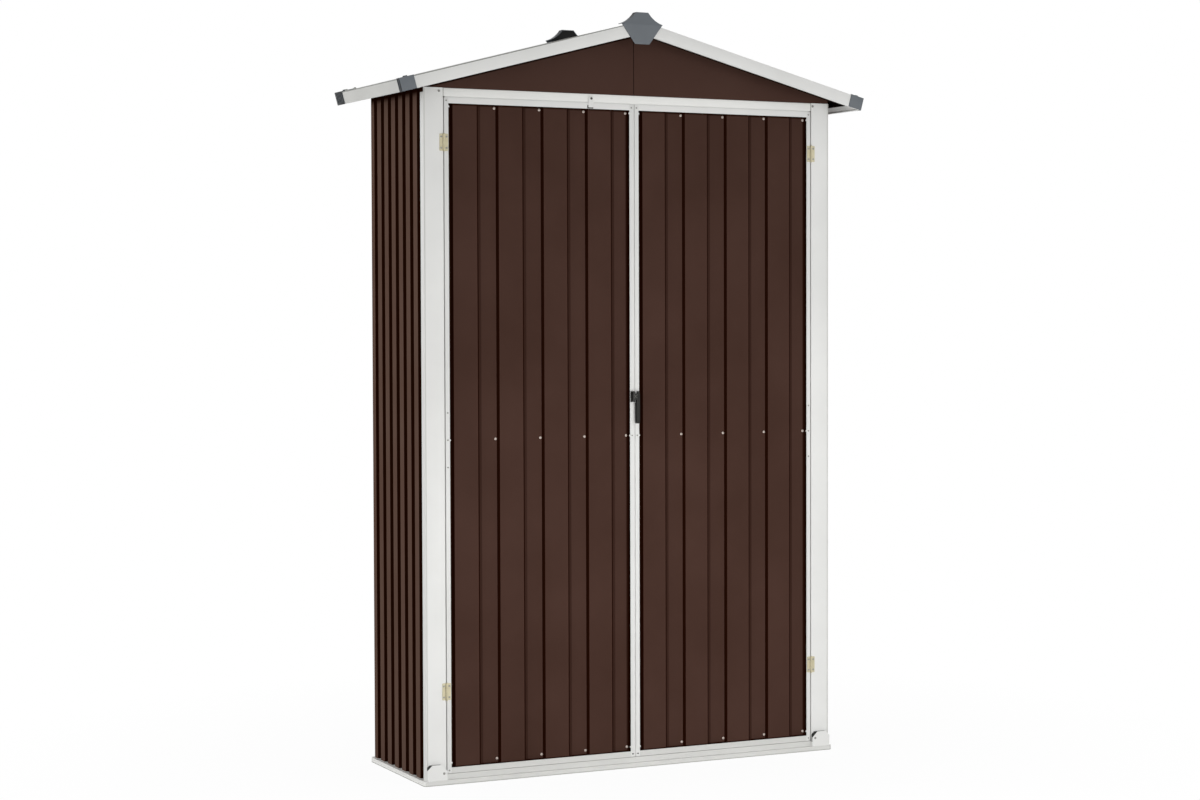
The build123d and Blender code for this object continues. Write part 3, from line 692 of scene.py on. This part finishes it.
# Ridge end caps: a raised panel on the shield, and a near black plate inside the hood that paints the shade
# within it
CAP_WALL = 1.5
SHIELD_INSET, SHIELD_RISE = 4.0, 2.0
SHOULDER = 26.5
HOOD_SHADE_SETBACK = 14.0
HOOD_SHADE_THICK = 2.0
HOOD_SHADE_SHRINK = (0.94, 1, 0.92)
for end, out in (("front", FRONT), ("rear", REAR)):
    name = f"ridge_end_cap_{end}"
    bm = cad_copy(name)
    shield = furthest_faces(bm, out)
    bmesh.ops.inset_region(
        bm, faces=shield, thickness=SHIELD_INSET, depth=SHIELD_RISE, use_even_offset=True
    )
    round_edges(bm, sharp_edges(bm, 40), SOFT_EDGE, 2)
    finish_piece(f"{name}_moulded", bm, cap_plastic, "shed", [name], crisp=20)

    # the near black plate in the hood stands for its shade
    bm = cad_copy(name)
    brim = box_mm(name)[1].z - SHOULDER
    shield = furthest_faces(bm, out)
    others = [face for face in bm.faces if face not in shield]
    bmesh.ops.delete(bm, geom=others, context="FACES")
    cut = bm.verts[:] + bm.edges[:] + bm.faces[:]
    bmesh.ops.bisect_plane(
        bm, geom=cut, plane_co=(0, 0, brim + 1.0), plane_no=(0, 0, -1), clear_outer=True
    )
    bmesh.ops.translate(bm, verts=bm.verts, vec=-out * HOOD_SHADE_SETBACK - Vector((0, 0, brim)))
    bmesh.ops.scale(bm, vec=HOOD_SHADE_SHRINK, verts=bm.verts)
    bmesh.ops.translate(bm, verts=bm.verts, vec=(0, 0, brim))
    made = bmesh.ops.extrude_face_region(bm, geom=bm.faces[:], use_keep_orig=True)["geom"]
    moved = [v for v in made if isinstance(v, bmesh.types.BMVert)]
    bmesh.ops.translate(bm, verts=moved, vec=-out * HOOD_SHADE_THICK)
    finish_piece(f"{name}_lining", bm, hood_shade_plastic, "shed")

# Corner caps with grip ribs on their flanks
GRIP_STEP = 9.0
GRIP_WIDTH = 2.2
GRIP_STAND = 1.0
CAP_EDGE = 0.45
roof_reach = (box_mm("corner_cap_front_right")[1].x - CAP_WALL * sin(ROOF_PITCH)) / cos(ROOF_PITCH)
for end in ("front", "rear"):
    for side, way in SIDES:
        name = f"corner_cap_{end}_{side}"
        low, high = box_mm(name)
        bm = cad_copy(name)
        round_edges(bm, sharp_edges(bm, 30), CAP_EDGE, 2)
        finish_piece(f"{name}_moulded", bm, cap_plastic, "shed", [name])
        bm = bmesh.new()
        for index in range(int((high.y - low.y) / GRIP_STEP)):
            y = low.y + GRIP_STEP * (index + 0.5)
            rounded_block(
                bm,
                (roof_reach - 0.5, y, 3.0 - FASCIA_HEIGHT),
                (roof_reach + GRIP_STAND, y + GRIP_WIDTH, -2.0),
                SOFT_EDGE,
            )
        bmesh.ops.transform(bm, matrix=roof_place(way), verts=bm.verts)
        finish_piece(f"{name}_ribs", bm, rib_plastic, "shed")

# Screws through the top of the eave trims
EAVE_SCREWS = (162.0, 102.0)
EAVE_SCREW_INSET = 9.0
bm = bmesh.new()
for way in (-1, 1):
    place = roof_place(way)
    for y in EAVE_SCREWS:
        at = place @ Vector((roof_reach - EAVE_SCREW_INSET, y, 0))
        screw(bm, at, place.to_3x3() @ Vector((0, 0, 1)), EAVE_HEAD)
finish_piece("eave_trim_screws", bm, dull_zinc, "shed")

# Butt hinges: stamped leaves with rolled knuckles, headed pins and two screws in each leaf
HINGE_HEIGHT = 38.0
KNUCKLE_GAP = 0.3
KNUCKLE_RADIUS = 2.4
LEAF = 1.2
LEAF_CORNER = 1.6
LEAF_SCREW = 6.5
ROLL_STEP = 0.2
PIN_RADIUS = 1.2
PIN_HEAD = 1.2
PIN_HEAD_RADIUS = 2.1
knuckle_height = (HINGE_HEIGHT - 2 * KNUCKLE_GAP) / 3
pin_length = HINGE_HEIGHT + 2 * PIN_HEAD
for side, outward in SIDES:
    pin_low, pin_high = box_mm(f"{side}_hinge_pins")
    axis_x, axis_y = (pin_low.x + pin_high.x) / 2, (pin_low.y + pin_high.y) / 2
    for leaf, body, knuckles, way in (
        ("frame_leaves", "shed", (0, 2), outward),
        ("door_leaves", f"{side}_door", (1,), -outward),
    ):
        low, high = box_mm(f"{side}_hinge_{leaf}")
        edge_x = low.x if way < 0 else high.x
        near_x = axis_x + way * (KNUCKLE_RADIUS + KNUCKLE_GAP)
        bm = bmesh.new()
        screw_bm = bmesh.new()
        for bottom in (low.z, high.z - HINGE_HEIGHT):
            plate = block(
                bm,
                (min(edge_x, near_x), high.y - LEAF, bottom),
                (max(edge_x, near_x), high.y, bottom + HINGE_HEIGHT),
            )
            corners = [
                e
                for e in edges_of(plate)
                if abs(run_of(e).y) > 0.9 and abs(e.verts[0].co.x - edge_x) < 0.01
            ]
            round_edges(bm, corners, LEAF_CORNER, 3)
            for index in knuckles:
                foot = bottom + index * (knuckle_height + KNUCKLE_GAP)
                head = foot + knuckle_height
                turned_bar(
                    bm, (axis_x, axis_y, foot), (axis_x, axis_y, head), KNUCKLE_RADIUS, THIN_EDGE
                )
                rounded_block(
                    bm,
                    (min(near_x + way, axis_x), high.y - LEAF - ROLL_STEP, foot),
                    (max(near_x + way, axis_x), high.y - ROLL_STEP, head),
                    0.2,
                )
            for rise in (LEAF_SCREW, HINGE_HEIGHT - LEAF_SCREW):
                screw(screw_bm, ((edge_x + near_x) / 2, high.y - LEAF, bottom + rise), FRONT, HINGE_HEAD)
        finish_piece(
            f"{side}_hinge_{leaf}_stamped", bm, hinge_zinc, body, [f"{side}_hinge_{leaf}"]
        )
        finish_piece(f"{side}_hinge_{leaf}_screws", screw_bm, dull_zinc, body)
    bm = bmesh.new()
    for bottom in (pin_low.z, pin_high.z - pin_length):
        top = bottom + pin_length
        turned_bar(bm, (axis_x, axis_y, bottom), (axis_x, axis_y, top), PIN_RADIUS, 0.2, 16)
        for foot in (bottom, top - PIN_HEAD):
            head = foot + PIN_HEAD
            turned_bar(
                bm, (axis_x, axis_y, foot), (axis_x, axis_y, head), PIN_HEAD_RADIUS, SOFT_EDGE, 16
            )
    finish_piece(f"{side}_hinge_pins_headed", bm, hinge_zinc, "shed", [f"{side}_hinge_pins"])

# Door screws: three rows in the panel's valleys, coated ones at the stiles' edges, small ones down them
VALLEY_FACE = -169.8
MIDDLE_ROW = 773.0
PANEL_SHANK = 6.6
STILE_SCREW_INSET = 7.0
STILE_SCREW_STEP = 61.0
head_radius = PANEL_HEAD[0]
for side in ("left", "right"):
    screws_low, screws_high = box_mm(f"{side}_door_screws")
    first, last = screws_low.x + head_radius, screws_high.x - head_radius
    rows = (screws_low.z + head_radius, MIDDLE_ROW, screws_high.z - head_radius)
    bm = bmesh.new()
    for x in (first, first + RIB_PITCH, first + 2 * RIB_PITCH, last):
        for z in rows:
            screw(bm, (x, VALLEY_FACE, z), FRONT, PANEL_HEAD, PANEL_SHANK)
    finish_piece(
        f"{side}_door_screws_panel", bm, screw_zinc, f"{side}_door", [f"{side}_door_screws"]
    )
    coated = bmesh.new()
    small = bmesh.new()
    dark = bmesh.new()
    for stile in ("hinge", "meeting"):
        low, high = box_mm(f"{side}_door_{stile}_stile")
        panel_edge = min((low.x, high.x), key=lambda x: abs(x - (first + last) / 2))
        middle = (low.x + high.x) / 2
        for z in rows:
            screw(coated, (panel_edge, DOOR_FACE + 1.0, z), FRONT, EDGE_HEAD)
        heights = (low.z + STILE_SCREW_INSET, MIDDLE_ROW, high.z - STILE_SCREW_INSET)
        if stile == "hinge":
            heights += (MIDDLE_ROW - STILE_SCREW_STEP, MIDDLE_ROW + STILE_SCREW_STEP)
        for z in heights:
            at_foot = stile == "meeting" and z == heights[0]
            screw(dark if at_foot else small, (middle, DOOR_FACE, z), FRONT, STILE_HEAD)
    finish_piece(f"{side}_door_edge_screws", coated, white_coat, f"{side}_door")
    finish_piece(f"{side}_door_stile_screws", small, dull_zinc, f"{side}_door")
    finish_piece(f"{side}_door_foot_screw", dark, dark_zinc_and_shadow, f"{side}_door")

# Latch: lever and hub on one spindle, cam inside, keeper on the other door
lever_low, lever_high = box_mm("latch_lever")
latch_joint = next(joint for joint in behaviour["joints"] if joint["name"] == "latch_turn")
spindle = Vector(latch_joint["pos_m"]) / MM
ARM_LEFT, ARM_RIGHT = 6.0, 2.6
ARM_TOP = 6.5
ARM_CHAMFER = 1.8
ARM_CORNER = 2.0
LEVER_THICK = 5.5
HUB_RADIUS = 5.0
SPINDLE_RADIUS = 3.0
HOLLOW_RIM, HOLLOW_SLOPE, HOLLOW_DEPTH = 1.7, 0.8, 0.9
hub_front, hub_back = lever_low.y, DOOR_FACE - 0.3
lever_back = hub_front + LEVER_THICK
bm = bmesh.new()
arm = block(
    bm,
    (spindle.x - ARM_LEFT, hub_front, lever_low.z),
    (spindle.x + ARM_RIGHT, lever_back, spindle.z + ARM_TOP),
)
near = [v for v in arm if v.co.x < spindle.x and v.co.y < lever_back - 1]
round_edges(bm, [e for e in edges_of(near) if abs(run_of(e).z) > 0.9], ARM_CHAMFER, 1)
round_edges(bm, [e for e in bm.edges if abs(run_of(e).y) > 0.9], ARM_CORNER, 4)
grip = max(bm.faces, key=lambda face: face.calc_center_median().dot(FRONT))
for inset, sink in ((HOLLOW_RIM, 0.0), (HOLLOW_SLOPE, HOLLOW_DEPTH)):
    bmesh.ops.inset_region(bm, faces=[grip], thickness=inset, depth=-sink, use_even_offset=True)
round_edges(bm, sharp_edges(bm, 50), SOFT_EDGE, 2)
# a web behind the arm, the two lobes of the head and the bridge between them: x and z are from the
# spindle, and the last number is the rounding
web_foot = lever_low.z - spindle.z + 1
for low, high, radius in (
    ((-ARM_LEFT + 0.2, lever_back - 1.0, web_foot), (ARM_RIGHT, DOOR_FACE - 0.7, -14.0), SOFT_EDGE),
    ((-3.5, hub_front + 0.6, 3.0), (ARM_RIGHT, lever_back, 13.0), 1.4),
    ((-15.5, hub_front + 0.6, -12.0), (-9.0, lever_back, 12.5), 1.4),
    ((-10.5, hub_front + 0.9, -7.5), (0.0, lever_back, 7.5), 1.2),
):
    rounded_block(
        bm,
        (spindle.x + low[0], low[1], spindle.z + low[2]),
        (spindle.x + high[0], high[1], spindle.z + high[2]),
        radius,
    )
for start, end, radius, rounding, segments in (
    (lever_back - 1, hub_back, HUB_RADIUS, 0.6, 28),
    (hub_back - 1, lever_high.y, SPINDLE_RADIUS, THIN_EDGE, 20),
):
    turned_bar(
        bm, (spindle.x, start, spindle.z), (spindle.x, end, spindle.z), radius, rounding, segments
    )
finish_piece("latch_lever_moulded", bm, black_plastic, "latch", ["latch_lever"])
# a raised cross in the head, painted a lighter grey as the highlight on its strokes
CROSS_ARM, CROSS_HALF, CROSS_DEPTH = 6.0, 0.7, 1.6
cross = Vector((spindle.x - 8.0, hub_front, spindle.z + 1.0))
bm = bmesh.new()
for lean in (-45, 45):
    bar = block(bm, (-CROSS_ARM, 0.0, -CROSS_HALF), (CROSS_ARM, CROSS_DEPTH, CROSS_HALF))
    turn = Matrix.Translation(cross) @ Matrix.Rotation(radians(lean), 4, "Y")
    bmesh.ops.transform(bm, matrix=turn, verts=bar)
round_edges(bm, sharp_edges(bm, 50), THIN_EDGE, 2)
finish_piece("latch_lever_cross", bm, cross_highlight_plastic, "latch")

bm = cad_copy("latch_cam")
round_edges(bm, sharp_edges(bm, 40), THIN_EDGE, 2)
finish_piece("latch_cam_stamped", bm, hinge_zinc, "latch", ["latch_cam"])

KEEPER_EDGE = 0.7
bm = cad_copy("latch_keeper")
round_edges(bm, sharp_edges(bm, 40), KEEPER_EDGE, 3)
finish_piece("latch_keeper_moulded", bm, black_plastic, "left_door", ["latch_keeper"])

# Stop on the left door: a tab with a screw in its head, and dark strips at its foot and side that paint its
# shadow
CROWN_RADIUS = 4.0
SHADOW_STAND = 1.8
FOOT_SHADOW, SIDE_SHADOW, SIDE_SHADOW_RISE = 2.4, 2.2, 5.0
stop_low, stop_high = box_mm("left_door_stop")
bm = cad_copy("left_door_stop")
crown = [e for e in bm.edges if abs(run_of(e).y) > 0.9 and e.verts[0].co.z > stop_high.z - 1]
round_edges(bm, crown, CROWN_RADIUS, 4)
round_edges(bm, sharp_edges(bm, 50), THIN_EDGE, 2)
finish_piece("left_door_stop_tab", bm, white_coat, "left_door", ["left_door_stop"])
bm = bmesh.new()
screw(bm, ((stop_low.x + stop_high.x) / 2 + 1.5, stop_low.y, stop_high.z - 5.5), FRONT, FRAME_HEAD)
shadow_front, shadow_foot = DOOR_FACE - SHADOW_STAND, stop_low.z - FOOT_SHADOW
rounded_block(bm, (stop_low.x, shadow_front, shadow_foot), (stop_high.x, DOOR_FACE, stop_low.z), SOFT_EDGE)
rounded_block(
    bm,
    (stop_low.x - SIDE_SHADOW, shadow_front, shadow_foot),
    (stop_low.x, DOOR_FACE, stop_low.z + SIDE_SHADOW_RISE),
    SOFT_EDGE,
)
finish_piece("left_door_stop_screw_and_shadow", bm, dark_zinc_and_shadow, "left_door")

# A black plate behind each foot plate, seen through its open chamfers, that paints the shadow in the gap
SHADOW_PLATE_CHAMFERS = {"left": (5.0, 13.1), "right": (10.1, 6.5)}
SHADOW_PLATE_INSET = 1.1
foot_low, foot_high = box_mm("foot_plates")
for side, outward in SIDES:
    low, high = box_mm(f"front_post_{side}")
    bm = bmesh.new()
    block(
        bm,
        (low.x + SHADOW_PLATE_INSET, foot_low.y + SHADOW_PLATE_INSET, foot_low.z + 0.2),
        (high.x - SHADOW_PLATE_INSET, low.y - 0.1, foot_high.z - 0.2),
    )
    for way, chamfer in zip((outward, -outward), SHADOW_PLATE_CHAMFERS[side]):
        reach = max(vert.co.x * way for vert in bm.verts)
        corner = [
            e
            for e in bm.edges
            if all(v.co.x * way > reach - 0.1 and v.co.z > foot_high.z - 1 for v in e.verts)
        ]
        round_edges(bm, corner, chamfer, 1)
    finish_piece(f"{side}_foot_shadow_plate", bm, black_plastic, "shed")

# Pale lips that close the gaps round the doors: the front and back of each, behind the doors' face
HEADER_LIP = (DOOR_FACE + 2.1, DOOR_FACE + 3.0)
POST_LIP = (DOOR_FACE + 4.6, DOOR_FACE + 5.4)
MEETING_LIP = (DOOR_FACE + 2.2, DOOR_FACE + 3.0)
header_low = box_mm("door_header")[0]
bm = bmesh.new()
block(
    bm,
    (-post_low.x + 5, HEADER_LIP[0], door_high.z + 0.2),
    (post_low.x - 5, HEADER_LIP[1], header_low.z + 6.0),
)
for way in (-1, 1):
    ends = sorted((way * (door_high.x + 0.3), way * (post_low.x + 4.0)))
    block(bm, (ends[0], POST_LIP[0], door_low.z), (ends[1], POST_LIP[1], door_high.z))
finish_piece("door_frame_lips", bm, white_coat, "shed")
bm = bmesh.new()
block(
    bm,
    (-meeting_low.x - 2.5, MEETING_LIP[0], door_low.z),
    (meeting_low.x - 0.3, MEETING_LIP[1], door_high.z),
)
finish_piece("left_door_meeting_lip", bm, white_coat, "left_door")

# Brown tabs of the side walls over the tops of the posts, and pale lips turned in under the eaves
TAB_HEIGHT = 10.5
TAB_REACH = 21.0
TAB_SINK, TAB_STAND = 0.2, 0.7
EAVE_LIP_WIDTH = 18.0
EAVE_LIP_THICK = 0.8
EAVE_LIP_TILT = radians(30)
for side, way in SIDES:
    bm = bmesh.new()
    ends = sorted((way * (post_high.x - TAB_SINK), way * (post_high.x + TAB_STAND)))
    block(
        bm,
        (ends[0], DOOR_FACE, post_high.z - TAB_HEIGHT),
        (ends[1], DOOR_FACE + TAB_REACH, post_high.z),
    )
    finish_piece(f"side_wall_{side}_tab", bm, wall_coat, "shed")
    bm = bmesh.new()
    reach = box_mm("eave_trim_right")[1].y - 6.0
    block(bm, (-EAVE_LIP_WIDTH, -reach, 0.0), (0.0, reach, EAVE_LIP_THICK))
    brink = Matrix.Translation((roof_reach - 2.5, 0, 0.5 - FASCIA_HEIGHT))
    tilt = Matrix.Rotation(EAVE_LIP_TILT, 4, "Y")
    bmesh.ops.transform(bm, matrix=roof_place(way) @ brink @ tilt, verts=bm.verts)
    finish_piece(f"eave_trim_{side}_lining", bm, white_coat, "shed")

# Small fasteners on the frame: one near the top of each post and one in each foot plate
POST_SCREWS = (-474.5, 469.0)
POST_SCREW_DROP = 7.5
FOOT_SCREWS = ((-473.0, 26.5), (472.5, 31.0))
bm = bmesh.new()
for x in POST_SCREWS:
    screw(bm, (x, DOOR_FACE, post_high.z - POST_SCREW_DROP), FRONT, FRAME_HEAD)
for x, z in FOOT_SCREWS:
    screw(bm, (x, foot_low.y, z), FRONT, FRAME_HEAD)
finish_piece("front_frame_screws", bm, dull_zinc, "shed")

# Floor, light and camera
bm = bmesh.new()
bmesh.ops.create_grid(bm, x_segments=2, y_segments=2, size=40.0)
mesh = bpy.data.meshes.new("floor")
bm.to_mesh(mesh)
bm.free()
floor = bpy.data.objects.new("floor", mesh)
scene.collection.objects.link(floor)


def seen_rays(tree):
    """1 for rays that show a surface to the camera, directly, in a reflection or through glass."""
    ray = add(tree, "ShaderNodeLightPath")
    direct = add(
        tree,
        "ShaderNodeMath",
        {0: ray.outputs["Is Camera Ray"], 1: ray.outputs["Is Glossy Ray"]},
        operation="MAXIMUM",
    )
    return add(
        tree,
        "ShaderNodeMath",
        {0: direct.outputs[0], 1: ray.outputs["Is Transmission Ray"]},
        operation="MAXIMUM",
    ).outputs[0]


# Pale studio floor: it keeps the shadow near the shed and runs out into plain white
floor_paint, tree, coords = start_material("pale_studio_floor")
distance = add(tree, "ShaderNodeVectorMath", {0: coords.outputs["Object"]}, operation="LENGTH")
spread = add(
    tree,
    "ShaderNodeMapRange",
    {"Value": distance.outputs["Value"], "From Min": 0.4, "From Max": 1.6, "To Min": 0.955, "To Max": 1.0},
)
share = add(tree, "ShaderNodeMath", {0: spread.outputs[0], 1: seen_rays(tree)}, operation="MULTIPLY")
matt = add(tree, "ShaderNodeBsdfDiffuse", {"Color": linear("#F4F4F2")})
white = add(tree, "ShaderNodeEmission", {"Color": linear("#FFFFFF"), "Strength": 1.0})
mixed = add(tree, "ShaderNodeMixShader", {0: share.outputs[0], 1: matt.outputs[0], 2: white.outputs[0]})
end_material(tree, mixed)
floor.data.materials.append(floor_paint)

world = bpy.data.worlds.new("studio")
scene.world = world
world.use_nodes = True
tree = world.node_tree
tree.nodes.clear()
fill = add(tree, "ShaderNodeBackground", {"Color": linear("#FFFFFF"), "Strength": 0.45})
plain = add(tree, "ShaderNodeBackground", {"Color": linear("#FFFFFF"), "Strength": 1.0})
mixed = add(tree, "ShaderNodeMixShader", {0: seen_rays(tree), 1: fill.outputs[0], 2: plain.outputs[0]})
add(tree, "ShaderNodeOutputWorld", {"Surface": mixed.outputs[0]})


def soft_lamp(name, at, aim, size, power):
    """Square soft box at a place, pointing at another."""
    lamp = bpy.data.lights.new(name, "AREA")
    lamp.shape = "SQUARE"
    lamp.size = size
    lamp.energy = power
    holder = bpy.data.objects.new(name, lamp)
    holder.location = at
    holder.rotation_euler = (Vector(aim) - Vector(at)).to_track_quat("-Z", "Y").to_euler()
    scene.collection.objects.link(holder)


soft_lamp("front_soft_box", (-2.4, -5.0, 0.6), (0, 0, 0.7), 2.5, 30)
soft_lamp("right_soft_box", (1.6, -3.0, 1.4), (0.1, 0, 0.9), 1.6, 21)
soft_lamp("floor_soft_box", (0.0, -1.5, 0.12), (0, 0, 0.3), 1.0, 12)
soft_lamp("side_soft_box", (-4.5, 0.0, 1.2), (0, 0, 0.8), 2.5, 67)

# Camera at the photograph's viewing angle
camera = bpy.data.cameras.new("camera")
camera.lens = 77.342
camera.shift_x = -0.1758
eye = bpy.data.objects.new("camera", camera)
eye.location = (-2.4817, -5.6214, 1.0724)
eye.rotation_euler = (pi / 2 - 0.0364, 0, -0.4961)
scene.collection.objects.link(eye)
scene.camera = eye
scene.view_settings.view_transform = "Standard"
